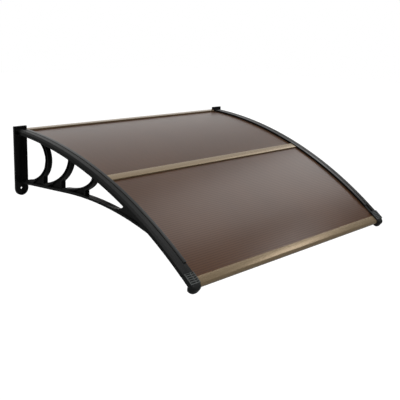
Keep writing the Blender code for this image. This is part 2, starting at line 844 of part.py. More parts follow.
# End cap
def nose(start):
    """The rounded front of the cap: rings that narrow like a half disc towards the tip."""
    inner = COVER_IN - NOSE_BULGE
    middle = (inner + RAIL_OUT) / 2
    half = (RAIL_OUT - inner) / 2 - MERGE / 2
    top, low = RAIL_RISE - CAP_NOSE_STEP, -NOSE_DROP
    centre, tall = (top + low) / 2, (top - low) / 2
    rings = []
    for i in range(9):
        angle = math.pi / 2 * i / 8
        run = start + NOSE_LENGTH * math.sin(angle)
        narrow = NOSE_TIP_WIDTH + (1 - NOSE_TIP_WIDTH) * math.cos(angle)
        lower = NOSE_TIP_HEIGHT + (1 - NOSE_TIP_HEIGHT) * math.cos(angle)
        ring = []
        for j in range(24):
            turn = 2 * math.pi * (j + 0.5) / 24
            across = math.copysign(abs(math.cos(turn)) ** 0.5, math.cos(turn)) * half * narrow
            up = math.copysign(abs(math.sin(turn)) ** 0.5, math.sin(turn)) * tall * lower
            reach, height = roof(run, centre + up)
            ring.append((middle + across, -reach, height))
        rings.append(ring)
    return skin("nose", rings)


def grip_slots():
    """Cutters for the two columns of finger slots across the cap's top."""
    inner = (COVER_IN + GRIP_MARGIN, RAIL_IN - GRIP_RIDGE / 2)
    outer = (RAIL_IN + GRIP_RIDGE / 2, RAIL_OUT - GRIP_MARGIN)
    cutters = []
    for low, high in (inner, outer):
        for i in range(GRIP_SLOTS):
            run = CAP_LIP - GRIP_MARGIN - GRIP_SLOT - i * GRIP_PITCH
            box = rectangle(run, run + GRIP_SLOT, RAIL_RISE - GRIP_DEPTH, RAIL_RISE + GRIP_DEPTH)
            cutters.append(roof_prism("slot", box, low, high))
    return cutters


def end_cap(finish_material):
    """The cap that closes the rail: ribbed grip on top, rounded nose in front."""
    start = CAP_START
    top = roof_prism("end_cap", rectangle(start, CAP_LIP, LIP_BOTTOM, RAIL_RISE), COVER_IN, RAIL_OUT)
    tongue = roof_prism(
        "tongue",
        rectangle(COVER_END + GAP, start + MERGE, LIP_BOTTOM + MERGE / 4, LIP_BOTTOM + CAP_TONGUE),
        COVER_IN + MERGE / 2,
        COVER_OUT - MERGE / 2,
    )
    cheek_start = start + MERGE / 4
    cheek_outline = [
        (cheek_start, RAIL_BOTTOM),
        (HOOK_RUN - HOOK_WIDTH / 2, RAIL_BOTTOM),
        (HOOK_RUN, -HOOK_DROP),
        (HOOK_RUN + HOOK_WIDTH, -HOOK_DROP),
        (HOOK_RUN + HOOK_WIDTH, -HOOK_DROP / 2),
        (CAP_LIP + 2 * MERGE, LIP_BOTTOM + MERGE),
        (cheek_start, LIP_BOTTOM + MERGE),
    ]
    cheek = roof_prism("cheek", cheek_outline, RAIL_OUT - CAP_CHEEK, RAIL_OUT - MERGE / 4)
    room = roof_prism(
        "room",
        rectangle(CAP_LIP - 2 * MERGE, FRONT_BAR_END + 2 * GAP, -2 * NOSE_DROP, LIP_BOTTOM + MERGE / 4),
        COVER_IN - NOSE_BULGE - CAP_CHEEK,
        SHEET_HALF + SHEET_SIDE_GAP,
    )
    join_all(top, [cut_all(nose(CAP_LIP - MERGE), [room]), tongue, cheek])
    bore = roof_bore(
        "bore",
        CAP_SCREW_LINE,
        CAP_SCREW_RUN,
        BAR_TOP - MERGE,
        CAP_SCREW_RISE + SCREW_CLEAR,
        SCREW_RADIUS + SCREW_CLEAR,
    )
    cut_all(top, grip_slots() + [bore])
    pair(top, "end_cap", finish_material)


# Rubber strips between the sheets and what clamps them
def gaskets(finish_material):
    """Strips above and below each sheet's side edges, between the bars."""
    half = CENTRE_BAR_WIDTH / 2
    spans = (
        ("rear", REAR_BAR_RUN, CENTRE_BAR_RUN - half),
        ("front", CENTRE_BAR_RUN + half, FRONT_BAR_RUN),
    )
    out = COVER_IN + GASKET_WIDTH
    over = rectangle(COVER_IN, out, GAP, GAP + TOP_GASKET_THICK)
    under = rectangle(COVER_IN, out, LEDGE_TOP + GAP, SHEET_BOTTOM - GAP)
    for name, start, end in spans:
        for place, section in (("upper", over), ("lower", under)):
            strip = sweep("gasket", section, start + GAP, end - GAP)
            pair(strip, f"{name}_{place}_gasket", finish_material)


# Screws
def screw(x, run, tip_rise):
    """A pan-head screw driven up from under the rail."""
    base, up = roof_axis(x, run, RAIL_BOTTOM - GAP - SCREW_HEAD)
    length = tip_rise - RAIL_BOTTOM + GAP + SCREW_HEAD
    profile = [
        (SCREW_HEAD_RADIUS * 0.45, 0.0),
        (SCREW_HEAD_RADIUS * 0.85, SCREW_HEAD * 0.25),
        (SCREW_HEAD_RADIUS, SCREW_HEAD * 0.6),
        (SCREW_HEAD_RADIUS, SCREW_HEAD),
        (SCREW_RADIUS, SCREW_HEAD),
        (SCREW_RADIUS, length - SCREW_TIP),
        (SCREW_RADIUS * 0.4, length),
    ]
    return turned("screw", profile, base, up, 12)


def screws(finish_material):
    """The cover strips' screws and the end caps' screws."""
    for i, run in enumerate(COVER_SCREW_RUNS, start=1):
        pair(screw(SCREW_LINE, run, COVER_SCREW_RISE), f"cover_screw_{i}", finish_material)
    pair(screw(CAP_SCREW_LINE, CAP_SCREW_RUN, CAP_SCREW_RISE), "cap_screw", finish_material)


def build():
    """Clear the scene and model the canopy."""
    for old in list(bpy.data.objects):
        bpy.data.objects.remove(old, do_unlink=True)
    plastic = material("black_plastic", PLASTIC)
    brown = material("brown_sheet", SHEET_BROWN)
    champagne = material("champagne_aluminium", CHAMPAGNE)
    rubber = material("black_rubber", RUBBER)
    steel = material("screw_steel", STEEL)
    web = CENTRE_BAR_WEB / 2 + SHEET_END_GAP
    bracket(plastic)
    cover_strip(plastic)
    end_cap(plastic)
    fluted_sheet("rear_sheet", PLATE_FRONT, CENTRE_BAR_RUN - web, brown)
    fluted_sheet("front_sheet", CENTRE_BAR_RUN + web, SHEET_FRONT, brown)
    rear_bar(champagne)
    wall_seal(rubber)
    centre_bar(champagne)
    front_bar(champagne)
    gaskets(rubber)
    screws(steel)


build()
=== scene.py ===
# %% [markdown]
# # A door canopy, dressed around its CAD frame
#
# The real object is a small roof over a door: two black moulded brackets carry two curved
# sheets of brown twin-wall plastic, held by three champagne-coloured aluminium bars. The
# CAD model has every part at its real size. This script keeps that frame and works on
# what the eye sees: rounded edges, the fine lines of the flutes, brushed metal, moulded
# plastic, light and camera.

import math

import bmesh
import bpy
import numpy as np
from mathutils import Matrix, Vector


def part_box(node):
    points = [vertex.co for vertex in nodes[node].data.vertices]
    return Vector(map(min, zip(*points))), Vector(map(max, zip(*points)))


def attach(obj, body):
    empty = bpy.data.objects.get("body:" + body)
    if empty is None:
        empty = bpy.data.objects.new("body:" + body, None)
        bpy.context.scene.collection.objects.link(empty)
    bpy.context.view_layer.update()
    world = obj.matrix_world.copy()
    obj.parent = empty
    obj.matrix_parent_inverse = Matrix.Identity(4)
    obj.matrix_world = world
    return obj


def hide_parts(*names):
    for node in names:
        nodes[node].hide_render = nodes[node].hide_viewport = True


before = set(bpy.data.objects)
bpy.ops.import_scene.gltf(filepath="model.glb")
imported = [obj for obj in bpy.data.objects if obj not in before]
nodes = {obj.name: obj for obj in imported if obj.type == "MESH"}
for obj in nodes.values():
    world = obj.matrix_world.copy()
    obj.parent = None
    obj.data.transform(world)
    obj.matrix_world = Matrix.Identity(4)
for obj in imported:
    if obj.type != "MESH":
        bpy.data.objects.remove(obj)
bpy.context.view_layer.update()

# %% [markdown]
# The roof is a true arc, so every long part can be described by two numbers: the run,
# measured along the arc from the wall, and the rise above the sheets' top face. One
# function turns run and rise into reach and height, and it works on whole arrays at once.
# The arc's radius and its slope at the wall are the real ones. The widths come from the
# frame, and the last line prints the run and rise of the front sheet's front bottom corner.

# %% The roof's arc as a coordinate system
ARC_RADIUS = 1.370
START_TILT = math.radians(3.5)
CENTRE_BACK = ARC_RADIUS * math.sin(START_TILT)
CENTRE_DOWN = ARC_RADIUS * math.cos(START_TILT)
FROM_CENTRE = (0.0, -CENTRE_BACK, CENTRE_DOWN)


def roof(run, rise):
    """Reach = (R + rise) sin(tilt + run/R) - R sin(tilt); height likewise with the cosine."""
    angle = START_TILT + np.asarray(run) / ARC_RADIUS
    radius = ARC_RADIUS + np.asarray(rise)
    reach = radius * np.sin(angle) - CENTRE_BACK
    height = radius * np.cos(angle) - CENTRE_DOWN
    return reach, height


def run_and_rise(y, z):
    """The inverse: the angle from the arc's centre gives the run, the distance the rise."""
    ahead = -y + CENTRE_BACK
    above = z + CENTRE_DOWN
    run = (np.arctan2(ahead, above) - START_TILT) * ARC_RADIUS
    return run, np.hypot(ahead, above) - ARC_RADIUS


def run_of(node, corner):
    """Run and rise of the front bottom (0) or rear top (1) corner of a node's box."""
    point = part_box(node)[corner]
    return run_and_rise(point.y, point.z)


print("front sheet ends at run %.4f, rise %.4f" % run_of("front_sheet", 0))

# %% [markdown]
# The camera stands in front of the canopy, to its left and a little above it. Its place
# and lens follow from where the corners of the real object fall in the picture.

# %% Camera
PICTURE = 400
SENSOR = 36.0
CAMERA_PLACE = Vector((-1.7409, -1.9832, 0.3387))
CAMERA_YAW = math.radians(-46.9492)
CAMERA_PITCH = math.radians(11.3286)
CAMERA_ROLL = math.radians(1.1723)
FOCAL_PIXELS = 707.92
CENTRE_PIXEL = (198.91, 170.0)

forward = Vector(
    (
        -math.sin(CAMERA_YAW) * math.cos(CAMERA_PITCH),
        math.cos(CAMERA_YAW) * math.cos(CAMERA_PITCH),
        -math.sin(CAMERA_PITCH),
    )
)
level_right = Vector((math.cos(CAMERA_YAW), math.sin(CAMERA_YAW), 0.0))
level_up = level_right.cross(forward)
right = math.cos(CAMERA_ROLL) * level_right + math.sin(CAMERA_ROLL) * level_up
up = right.cross(forward)
camera_data = bpy.data.cameras.new("camera")
camera = bpy.data.objects.new("camera", camera_data)
bpy.context.scene.collection.objects.link(camera)
turn = Matrix((right, up, -forward)).transposed()
camera.matrix_world = Matrix.Translation(CAMERA_PLACE) @ turn.to_4x4()
camera_data.sensor_width = SENSOR
camera_data.lens = FOCAL_PIXELS * SENSOR / PICTURE
camera_data.shift_x = (PICTURE / 2 - CENTRE_PIXEL[0]) / PICTURE
camera_data.shift_y = (CENTRE_PIXEL[1] - PICTURE / 2) / PICTURE
camera_data.clip_start = 0.01
bpy.context.scene.camera = camera
print("lens %.1f mm" % camera_data.lens)

# %% [markdown]
# A canopy hangs about two metres above the doorstep, so the floor is that far below and
# the shadow on it is wide and faint. The world gives about two fifths of the light, a soft
# sun from above the camera most of the rest, and a softbox on the right the broad sheen on
# the sheets. Together they light an upward face at about level 1, at which a colour renders
# as it is written. Rays that look straight at the world find plain white. A reflection
# finds the same white backdrop behind the canopy, a darker ceiling above it and a darker
# room in front of it and to its left. A small second softbox puts the glint on the front
# bar.

# %% Light, floor and backdrop
WORLD_LEVEL = 0.40
CEILING_LEVEL = 0.35
CEILING_START = 0.60
CEILING_END = 0.92
ROOM_LEVEL = 0.24
ROOM_START = -0.05
ROOM_END = 0.55
SIDE_LEVEL = 0.30
SIDE_START = -0.70
SIDE_END = -0.20
SUN_LEVEL = 0.56
SUN_ANGLE = 50
SUN_DIRECTION = (0.10, 0.35, -1.0)
SOFTBOX_PLACE = (1.98, -0.34, 1.48)
SOFTBOX_AIM = (0.03, -0.53, -0.11)
SOFTBOX_SIZE = (1.0, 1.8)
SOFTBOX_BRIGHTNESS = 1.7
GLINT_PLACE = (1.49, -1.15, 0.90)
GLINT_AIM = (-0.07, -0.80, -0.31)
GLINT_SIZE = (0.28, 0.28)
GLINT_BRIGHTNESS = 5.2
FLOOR_HEIGHT = -2.1
FLOOR_SIZE = 60.0
FLOOR_LINES = 5
FLOOR_COLOUR = (0.35, 0.35, 0.35, 1.0)
FLOOR_GLOW = 0.72
FLOOR_ROUGHNESS = 0.9
WHITE = (1.0, 1.0, 1.0, 1.0)

scene = bpy.context.scene
scene.view_settings.view_transform = "Standard"
world = bpy.data.worlds.new("studio")
scene.world = world
world.use_nodes = True


def combined(tree, operation, first, second):
    """A Math node on an output and a second value, which is an output too or a number."""
    node = tree.nodes.new("ShaderNodeMath")
    node.operation = operation
    tree.links.new(first, node.inputs[0])
    if isinstance(second, bpy.types.NodeSocket):
        tree.links.new(second, node.inputs[1])
    else:
        node.inputs[1].default_value = second
    return node.outputs[0]


def fading(tree, value, start, end, low, high):
    """Low where the value is start, high where it is end, and a straight line between."""
    node = tree.nodes.new("ShaderNodeMapRange")
    tree.links.new(value, node.inputs["Value"])
    for name, number in zip(("From Min", "From Max", "To Min", "To Max"), (start, end, low, high)):
        node.inputs[name].default_value = number
    return node.outputs[0]


tree = world.node_tree
tree.nodes.clear()
rays = tree.nodes.new("ShaderNodeLightPath").outputs
mirrored = combined(tree, "MAXIMUM", rays["Is Glossy Ray"], rays["Is Transmission Ray"])
shows_backdrop = combined(tree, "MAXIMUM", rays["Is Camera Ray"], mirrored)
ray = tree.nodes.new("ShaderNodeTexCoord")
split = tree.nodes.new("ShaderNodeSeparateXYZ")
tree.links.new(ray.outputs["Generated"], split.inputs[0])
ceiling = fading(tree, split.outputs["Z"], CEILING_START, CEILING_END, 1.0, CEILING_LEVEL)
room = fading(tree, split.outputs["Y"], ROOM_START, ROOM_END, ROOM_LEVEL, 1.0)
left_side = fading(tree, split.outputs["X"], SIDE_START, SIDE_END, SIDE_LEVEL, 1.0)
around = combined(tree, "MINIMUM", room, left_side)
darker = combined(tree, "MINIMUM", ceiling, around)
backdrop_level = combined(tree, "MAXIMUM", darker, rays["Is Camera Ray"])
lighting = tree.nodes.new("ShaderNodeBackground")
lighting.inputs["Color"].default_value = WHITE
lighting.inputs["Strength"].default_value = WORLD_LEVEL
backdrop = tree.nodes.new("ShaderNodeBackground")
backdrop.inputs["Color"].default_value = WHITE
tree.links.new(backdrop_level, backdrop.inputs["Strength"])
choice = tree.nodes.new("ShaderNodeMixShader")
tree.links.new(shows_backdrop, choice.inputs["Fac"])
tree.links.new(lighting.outputs[0], choice.inputs[1])
tree.links.new(backdrop.outputs[0], choice.inputs[2])
surface = tree.nodes.new("ShaderNodeOutputWorld")
tree.links.new(choice.outputs[0], surface.inputs["Surface"])


def hang(name, data, place, direction):
    """Hang a lamp at a place, so that it shines along a direction."""
    lamp = bpy.data.objects.new(name, data)
    lamp.location = place
    lamp.rotation_mode = "QUATERNION"
    lamp.rotation_quaternion = Vector(direction).to_track_quat("-Z", "Y")
    scene.collection.objects.link(lamp)


def soft_sun(name, level, angle, direction):
    """A sun whose light on a face square to it has the given level: strength = pi x level."""
    data = bpy.data.lights.new(name, "SUN")
    data.energy = math.pi * level
    data.angle = math.radians(angle)
    hang(name, data, (0.0, 0.0, 0.0), direction)


def softbox(name, place, aim, size, brightness):
    """A rectangle of light as bright as the number says: power = brightness x pi x area."""
    data = bpy.data.lights.new(name, "AREA")
    data.shape = "RECTANGLE"
    data.size, data.size_y = size
    data.energy = brightness * math.pi * size[0] * size[1]
    hang(name, data, place, Vector(aim) - Vector(place))


soft_sun("key", SUN_LEVEL, SUN_ANGLE, SUN_DIRECTION)
softbox("sheen", SOFTBOX_PLACE, SOFTBOX_AIM, SOFTBOX_SIZE, SOFTBOX_BRIGHTNESS)
softbox("glint", GLINT_PLACE, GLINT_AIM, GLINT_SIZE, GLINT_BRIGHTNESS)


def quads_over(rows, columns, closed=False):
    """Corner numbers of the quads between neighbours in a grid of points.

    A closed grid also joins the last column to the first.
    """
    last = columns if closed else columns - 1
    i, j = np.meshgrid(np.arange(rows - 1), np.arange(last), indexing="ij")
    k = (j + 1) % columns
    corners = (i * columns + j, i * columns + k, (i + 1) * columns + k, (i + 1) * columns + j)
    return np.stack(corners, -1).reshape(-1, 4).tolist()


def object_of(name, points, faces):
    """An object in the scene from an array of points and a list of faces."""
    mesh = bpy.data.meshes.new(name)
    mesh.from_pydata(points.reshape(-1, 3).tolist(), [], faces)
    made = bpy.data.objects.new(name, mesh)
    scene.collection.objects.link(made)
    return made


line = np.linspace(-FLOOR_SIZE / 2, FLOOR_SIZE / 2, FLOOR_LINES)
floor_x, floor_y = np.meshgrid(line, line)
points = np.stack((floor_x, floor_y, np.full_like(floor_x, FLOOR_HEIGHT)), -1)
floor = object_of("floor", points, quads_over(FLOOR_LINES, FLOOR_LINES))
floor_finish = bpy.data.materials.new("pale_floor")
floor_finish.use_nodes = True
tree = floor_finish.node_tree
plain = tree.nodes["Principled BSDF"]
plain.inputs["Base Color"].default_value = FLOOR_COLOUR
plain.inputs["Roughness"].default_value = FLOOR_ROUGHNESS
rays = tree.nodes.new("ShaderNodeLightPath").outputs
seen = combined(tree, "MAXIMUM", rays["Is Camera Ray"], rays["Is Transmission Ray"])
plain.inputs["Emission Color"].default_value = WHITE
glow = combined(tree, "MULTIPLY", seen, FLOOR_GLOW)
tree.links.new(glow, plain.inputs["Emission Strength"])
floor.data.materials.append(floor_finish)
print("floor %.1f m below the roof" % -FLOOR_HEIGHT)

# %% [markdown]
# Materials are built from a few named nodes. A small class keeps the wiring readable: it
# makes a node, sets its inputs by name and links what is itself an output. Inputs that
# share a name, such as those of a Math node, are given by their place instead: at0, at1.
# A noise rarely leaves the span from 0.3 to 0.7, so most fades use that span of it.

# %% A short way to write node materials
NOISE_SPAN = (0.3, 0.7)


class Finish:
    """A Principled material and a helper that adds nodes to it."""

    def __init__(self, name, **constants):
        self.material = bpy.data.materials.new(name)
        self.material.use_nodes = True
        self.tree = self.material.node_tree
        self.shader = self.tree.nodes["Principled BSDF"]
        for socket, value in constants.items():
            self.shader.inputs[socket.replace("_", " ")].default_value = value

    def add(self, kind, settings=None, output=0, **inputs):
        """Add a node, set or link its inputs, and return one of its outputs."""
        node = self.tree.nodes.new("ShaderNode" + kind)
        for key, value in (settings or {}).items():
            setattr(node, key, value)
        for key, value in inputs.items():
            place = int(key[2:]) if key.startswith("at") else key.replace("_", " ")
            self.put(node.inputs[place], value)
        return node.outputs[output]

    def put(self, socket, value):
        """Link an output to a socket, or set the socket's own value."""
        if isinstance(value, bpy.types.NodeSocket):
            self.tree.links.new(value, socket)
        else:
            socket.default_value = value

    def maths(self, operation, *values, kind="Math", output=0):
        """A Math node, or one of another kind with operations, on the values in turn."""
        places = {f"at{place}": value for place, value in enumerate(values)}
        return self.add(kind, {"operation": operation}, output, **places)

    def fade(self, value, start, end, low, high):
        """Low where the value is start, high where it is end, and a straight line between."""
        return self.add("MapRange", Value=value, at1=start, at2=end, at3=low, at4=high)

    def mix(self, factor, first, second):
        """From the first colour to the second by a factor."""
        return self.add("Mix", {"data_type": "RGBA"}, 2, at0=factor, at6=first, at7=second)

    def ramp(self, factor, places, colours):
        """Two colours at two places along a factor, and blends between them."""
        node = self.tree.nodes.new("ShaderNodeValToRGB")
        self.put(node.inputs[0], factor)
        for element, place, colour in zip(node.color_ramp.elements, places, colours):
            element.position = place
            element.color = (*colour, 1.0)
        return node.outputs[0]

    def set(self, socket, value):
        """Put a value on the shader."""
        self.put(self.shader.inputs[socket], value)


# %% [markdown]
# The brackets are black ABS with a fine spark-eroded grain. Close up the grain is a
# pebble of about half a millimetre, and large faces are never one even black: the
# moulding flows leave faint lighter clouds. One noise does this for the colour and the
# roughness, and two more for the bump. The strips that hold the sheets are glossier than
# the brackets. The end caps have painted light: a lighter black, and a painted highlight on
# their highest faces, such as the tops of the grip ridges.

# %% Black moulded plastic
PLASTIC_DARK = (0.0030, 0.0033, 0.0032)
PLASTIC_LIGHT = (0.0060, 0.0066, 0.0064)
# painted highlight: the pale grey, and the span of rise over which the highest faces are painted
# towards it
PLASTIC_PAINTED_HIGHLIGHT = (0.130, 0.140, 0.137)
PAINTED_HIGHLIGHT_FROM = 0.0062
PAINTED_HIGHLIGHT_TO = 0.0071
LATTICE_MID = 0.471
LATTICE_TOP = 0.0085
WEB_HALF = 0.0045
RIM_FROM = 0.0080
WEB_SHEEN = 0.4
CLOUD_SPAN = (0.30, 0.75)
CLOUD_ROUGHNESS = 0.12


def moulded_plastic(name, gloss, smoothest, painted_highlight, painted_light_scale=1.0):
    """Colour = dark to light by a wide noise; bump = fine grain over a shallow flow wave.

    The outermost faces get a painted highlight: they are mixed towards a pale grey by a
    given share. They are found by the rise of a point, its distance from the arc's centre
    less the radius. A scale on the whole black paints light on parts that read lighter.
    The webs sunk into the crescents' sides have less sheen: they lie under the rail, with
    |x| near their middle.
    """
    finish = Finish(name)
    where = finish.add("TexCoord", output=3)
    clouds = finish.add("TexNoise", Vector=where, Scale=14.0, Detail=3.0)
    # painted light: the scale makes the whole black lighter for parts that read lighter under the
    # light
    dark = tuple(painted_light_scale * part for part in PLASTIC_DARK)
    light = tuple(painted_light_scale * part for part in PLASTIC_LIGHT)
    black = finish.ramp(clouds, CLOUD_SPAN, (dark, light))
    from_centre = finish.maths("ADD", where, FROM_CENTRE, kind="VectorMath")
    upright = finish.maths("MULTIPLY", from_centre, (0.0, 1.0, 1.0), kind="VectorMath")
    distance = finish.maths("LENGTH", upright, kind="VectorMath", output=1)
    # painted highlight: the highest faces are mixed towards a pale grey by the given share
    painted_highlight_share = finish.fade(distance, ARC_RADIUS + PAINTED_HIGHLIGHT_FROM, ARC_RADIUS + PAINTED_HIGHLIGHT_TO, 0.0, painted_highlight)
    finish.set("Base Color", finish.mix(painted_highlight_share, black, (*PLASTIC_PAINTED_HIGHLIGHT, 1)))
    x = finish.maths("ABSOLUTE", finish.add("SeparateXYZ", Vector=where))
    depth = finish.maths("ABSOLUTE", finish.maths("SUBTRACT", x, LATTICE_MID))
    in_rail = finish.maths("GREATER_THAN", distance, ARC_RADIUS - LATTICE_TOP)
    outside = finish.maths("MAXIMUM", depth, in_rail)
    sheen = finish.fade(outside, WEB_HALF, RIM_FROM, WEB_SHEEN * gloss, gloss)
    finish.set("Specular IOR Level", sheen)
    roughest = smoothest + CLOUD_ROUGHNESS
    finish.set("Roughness", finish.fade(clouds, *CLOUD_SPAN, smoothest, roughest))
    grain = finish.add("TexNoise", Vector=where, Scale=1800.0, Detail=2.0)
    flow = finish.add("TexNoise", Vector=where, Scale=60.0, Detail=1.0)
    waves = finish.add("Bump", Height=flow, Strength=0.10, Distance=0.0010)
    pebbles = finish.add("Bump", Height=grain, Strength=0.25, Distance=0.00012, Normal=waves)
    finish.set("Normal", pebbles)
    return finish.material


plastic = moulded_plastic("bracket_plastic", gloss=0.15, smoothest=0.34, painted_highlight=0.0)
strip_plastic = moulded_plastic("strip_plastic", gloss=0.30, smoothest=0.26, painted_highlight=0.0)
# the caps carry painted light: a black 2.5 times lighter and a painted highlight on their highest
# faces
cap_plastic = moulded_plastic("cap_plastic", gloss=0.14, smoothest=0.34, painted_highlight=0.44, painted_light_scale=2.5)

# %% [markdown]
# The sheets are brown polycarbonate, extruded with walls inside. Each wall shows as a
# fine line across the roof, and the skin between two walls sinks a little as it cools.
# The pattern follows the run along the arc, so it reads the piece's UV map, in which v
# is the run in metres. The skin is tinted and lets some light through.

# %% Brown twin-wall plastic
FLUTES = 59
SHEET_BROWN = (0.100, 0.041, 0.015)
SHEET_RIB = (0.052, 0.021, 0.008)
RIB_SPAN = (0.10, 0.60)
RIB_ROUGHNESS, SKIN_ROUGHNESS = 0.36, 0.28
SHEET_CLOUDS = (0.92, 1.08)


def tinted_sheet(pitch):
    """Colour = ribs where |sin(pi v / pitch)| is near 0, over a wide faint cloud."""
    finish = Finish("tinted_sheet", Specular_IOR_Level=0.40, IOR=1.45, Transmission_Weight=0.45)
    where = finish.add("UVMap", {"uv_map": "run"})
    v = finish.add("SeparateXYZ", Vector=where, output=1)
    wave = finish.maths("SINE", finish.maths("MULTIPLY", v, math.pi / pitch))
    between = finish.fade(finish.maths("ABSOLUTE", wave), *RIB_SPAN, 0.0, 1.0)
    cloud_place = finish.add("TexCoord", output=3)
    clouds = finish.add("TexNoise", Vector=cloud_place, Scale=5.0, Detail=2.0)
    strength = finish.fade(clouds, *NOISE_SPAN, *SHEET_CLOUDS)
    tone = finish.mix(between, (*SHEET_RIB, 1), (*SHEET_BROWN, 1))
    varied = finish.add("VectorMath", {"operation": "SCALE"}, at0=tone, Scale=strength)
    finish.set("Base Color", varied)
    finish.set("Roughness", finish.fade(between, 0.0, 1.0, RIB_ROUGHNESS, SKIN_ROUGHNESS))
    haze = finish.add("TexNoise", Vector=cloud_place, Scale=900.0, Detail=1.0)
    finish.set("Normal", finish.add("Bump", Height=haze, Strength=0.08, Distance=0.0001))
    return finish.material


# %% [markdown]
# The bars are anodised in a champagne tone. Extruding draws fine lines along the bar, so
# the noise that makes them is stretched a hundredfold along X. The rear bar has a thicker
# clear layer, so where it is seen at a low angle it mirrors the bright backdrop.

# %% Champagne anodised aluminium
CHAMPAGNE_DARK = (0.205, 0.148, 0.086)
CHAMPAGNE_LIGHT = (0.285, 0.213, 0.128)
DRAWN_ROUGHNESS = (0.20, 0.28)
CLEAR_ROUGHNESS = 0.12


def anodised(name, clear):
    """Lines = noise stretched a hundredfold along X, for colour, roughness and bump."""
    layers = {"Coat_Weight": clear, "Coat_Roughness": CLEAR_ROUGHNESS}
    finish = Finish(name, Metallic=0.55, Specular_IOR_Level=0.5, **layers)
    where = finish.add("TexCoord", output=3)
    drawn = finish.add("Mapping", Vector=where, Scale=(0.01, 1.0, 1.0))
    lines = finish.add("TexNoise", Vector=drawn, Scale=1500.0, Detail=4.0, Roughness=0.65)
    tones = finish.ramp(lines, NOISE_SPAN, (CHAMPAGNE_DARK, CHAMPAGNE_LIGHT))
    finish.set("Base Color", tones)
    finish.set("Roughness", finish.fade(lines, *NOISE_SPAN, *DRAWN_ROUGHNESS))
    finish.set("Normal", finish.add("Bump", Height=lines, Strength=0.12, Distance=0.0001))
    return finish.material


champagne = anodised("champagne_anodised", clear=0.0)
bright_champagne = anodised("champagne_sealed", clear=0.9)

# %% [markdown]
# Rubber strips and zinc-plated screws are small and mostly hidden, but they are seen from
# below. Rubber is matt with a dusty bloom, zinc has a cloudy grey.

# %% Rubber and zinc
RUBBER_DARK = (0.008, 0.008, 0.008)
RUBBER_DUSTY = (0.018, 0.018, 0.017)
BLOOM_SPAN = (0.35, 0.75)
RUBBER_ROUGHNESS = (0.70, 0.85)
ZINC_DARK = (0.42, 0.43, 0.45)
ZINC_LIGHT = (0.62, 0.62, 0.60)
ZINC_ROUGHNESS = (0.28, 0.42)


def rubber_finish():
    """Colour = black with a faint bloom by a wide noise; bump = a fine noise."""
    finish = Finish("black_rubber", Specular_IOR_Level=0.3)
    where = finish.add("TexCoord", output=3)
    bloom = finish.add("TexNoise", Vector=where, Scale=40.0, Detail=4.0)
    finish.set("Base Color", finish.ramp(bloom, BLOOM_SPAN, (RUBBER_DARK, RUBBER_DUSTY)))
    finish.set("Roughness", finish.fade(bloom, *NOISE_SPAN, *RUBBER_ROUGHNESS))
    grain = finish.add("TexNoise", Vector=where, Scale=1200.0)
    finish.set("Normal", finish.add("Bump", Height=grain, Strength=0.2, Distance=0.0001))
    return finish.material


def zinc_finish():
    """Colour and roughness = a cloudy noise, as zinc plating has."""
    finish = Finish("zinc_plate", Metallic=1.0)
    where = finish.add("TexCoord", output=3)
    clouds = finish.add("TexNoise", Vector=where, Scale=700.0, Detail=3.0)
    finish.set("Base Color", finish.ramp(clouds, NOISE_SPAN, (ZINC_DARK, ZINC_LIGHT)))
    finish.set("Roughness", finish.fade(clouds, *NOISE_SPAN, *ZINC_ROUGHNESS))
    return finish.material


rubber = rubber_finish()
zinc = zinc_finish()

# %% [markdown]
# The brackets, end caps, screws and rubber strips keep their CAD solids. A moulding never
# has a knife edge, so each gets a small bevel. The frame's meshes are loose triangles, so
# a Weld modifier joins them first, and a short node group smooths the shading everywhere
# except across edges sharper than 30 degrees. The real rail has a broader chamfer along
# its outer shoulder than the solid has, so a second group widens that one.

# %% Rounded edges on the CAD solids
SHARP = math.radians(30)
SHOULDER_X = (0.4885, 0.4912)
SHOULDER_RISE = (0.0050, 0.0066, 0.0080)
SHOULDER_DROP = 0.0034
SHOULDER_IN = 0.0052
WELD_REACH = 1e-5
MOULDED_EDGE = 0.0005
SCREW_EDGE = 0.00012
RUBBER_EDGE = 0.00015


def modifier_group(name):
    """An empty node group for a modifier, with its way in and its way out."""
    group = bpy.data.node_groups.new(name, "GeometryNodeTree")
    for way in ("INPUT", "OUTPUT"):
        group.interface.new_socket("Geometry", in_out=way, socket_type="NodeSocketGeometry")
    return group, group.nodes.new("NodeGroupInput"), group.nodes.new("NodeGroupOutput")


def smooth_group():
    """A modifier group: drop stored normals, smooth all faces, keep edges over SHARP hard."""
    group, start, end = modifier_group("smooth_but_sharp")
    drop = group.nodes.new("GeometryNodeRemoveAttribute")
    drop.inputs["Name"].default_value = "custom_normal"
    faces = group.nodes.new("GeometryNodeSetShadeSmooth")
    faces.domain = "FACE"
    edges = group.nodes.new("GeometryNodeSetShadeSmooth")
    edges.domain = "EDGE"
    angle = group.nodes.new("GeometryNodeInputMeshEdgeAngle")
    flat_enough = group.nodes.new("FunctionNodeCompare")
    flat_enough.operation = "LESS_THAN"
    flat_enough.inputs[1].default_value = SHARP
    group.links.new(start.outputs[0], drop.inputs["Geometry"])
    group.links.new(drop.outputs[0], faces.inputs["Geometry"])
    group.links.new(faces.outputs[0], edges.inputs["Geometry"])
    group.links.new(angle.outputs["Unsigned Angle"], flat_enough.inputs[0])
    group.links.new(flat_enough.outputs[0], edges.inputs["Shade Smooth"])
    group.links.new(edges.outputs[0], end.inputs[0])
    return group


smoothing = smooth_group()


